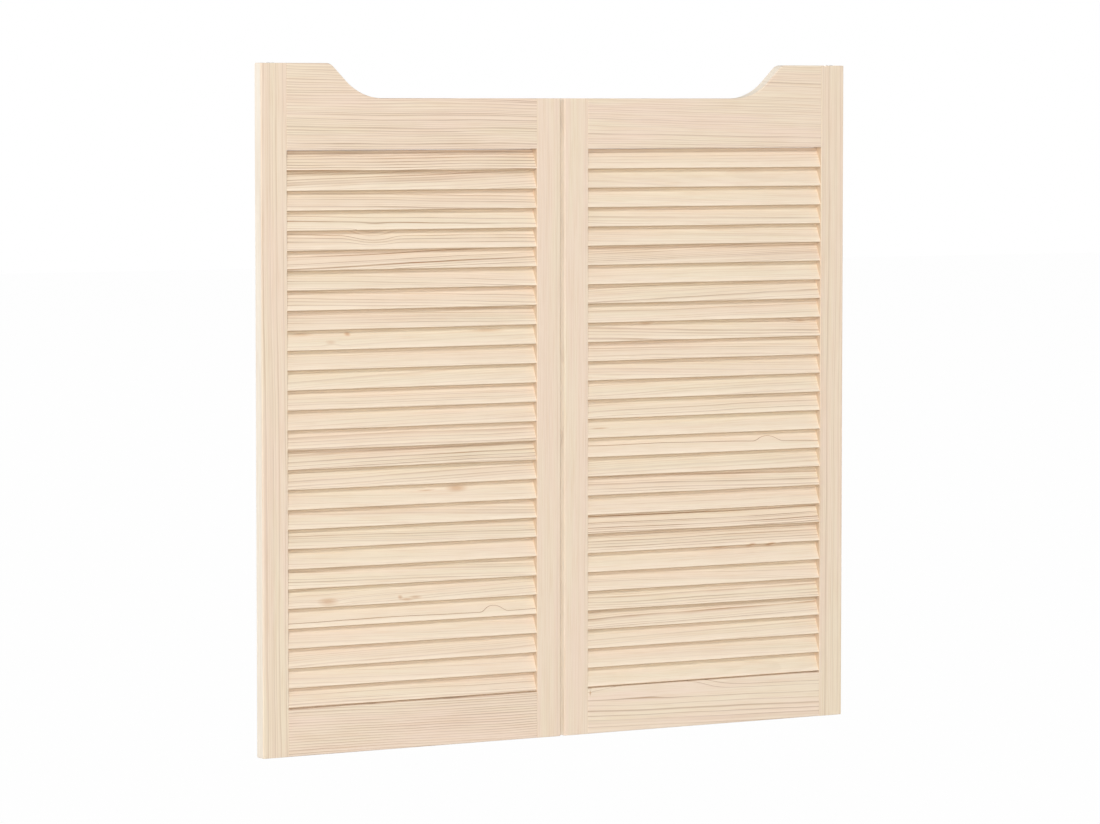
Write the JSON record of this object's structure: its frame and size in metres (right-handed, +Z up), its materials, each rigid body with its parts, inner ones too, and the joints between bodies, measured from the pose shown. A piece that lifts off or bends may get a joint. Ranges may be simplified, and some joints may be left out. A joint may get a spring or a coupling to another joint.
{
  "type": "louvred door",
  "caption": "Louvred saloon door leaves in pine with scooped tops, leaning slats housed in the stiles, and end pivots that let each leaf swing to either side.",
  "frame": {"origin": "centre of the lower face of the left bottom pivot's collar, on the left leaf's swing axis", "axes": "+X from the left leaf's swing axis to the right leaf's, +Y from the front to the back through the thickness, +Z up"},
  "size_m": [0.9934, 0.021, 0.9942],
  "materials": {
    "stile_pine": "unfinished, planed",
    "rail_pine": "unfinished, planed",
    "slat_pine": "unfinished, planed",
    "turned_steel": "satin, turned"
  },
  "bodies": {
    "pivots": {"left_bottom_pivot": "turned_steel", "left_top_pivot": "turned_steel", "right_bottom_pivot": "turned_steel", "right_top_pivot": "turned_steel"},
    "left_leaf": {"left_outer_stile": "stile_pine", "left_inner_stile": "stile_pine", "left_top_rail": "rail_pine", "left_bottom_rail": "rail_pine", "left_slats_1": "slat_pine", "left_slats_2": "slat_pine", "left_slats_3": "slat_pine", "left_slats_4": "slat_pine", "left_slats_5": "slat_pine", "left_slats_6": "slat_pine", "left_slats_7": "slat_pine"},
    "right_leaf": {"right_outer_stile": "stile_pine", "right_inner_stile": "stile_pine", "right_top_rail": "rail_pine", "right_bottom_rail": "rail_pine", "right_slats_1": "slat_pine", "right_slats_2": "slat_pine", "right_slats_3": "slat_pine", "right_slats_4": "slat_pine", "right_slats_5": "slat_pine", "right_slats_6": "slat_pine", "right_slats_7": "slat_pine"}
  },
  "joints": [
    {"name": "left_leaf_swing", "type": "hinge", "parent": "pivots", "child": "left_leaf", "pos_m": [0, 0, 0.0006], "axis": [0, 0, 1], "range_deg": [-90, 90], "stiffness_Nm_per_rad": 2.5},
    {"name": "right_leaf_swing", "type": "hinge", "parent": "pivots", "child": "right_leaf", "pos_m": [0.9524, 0, 0.0006], "axis": [0, 0, -1], "range_deg": [-90, 90], "stiffness_Nm_per_rad": 2.5}
  ]
}
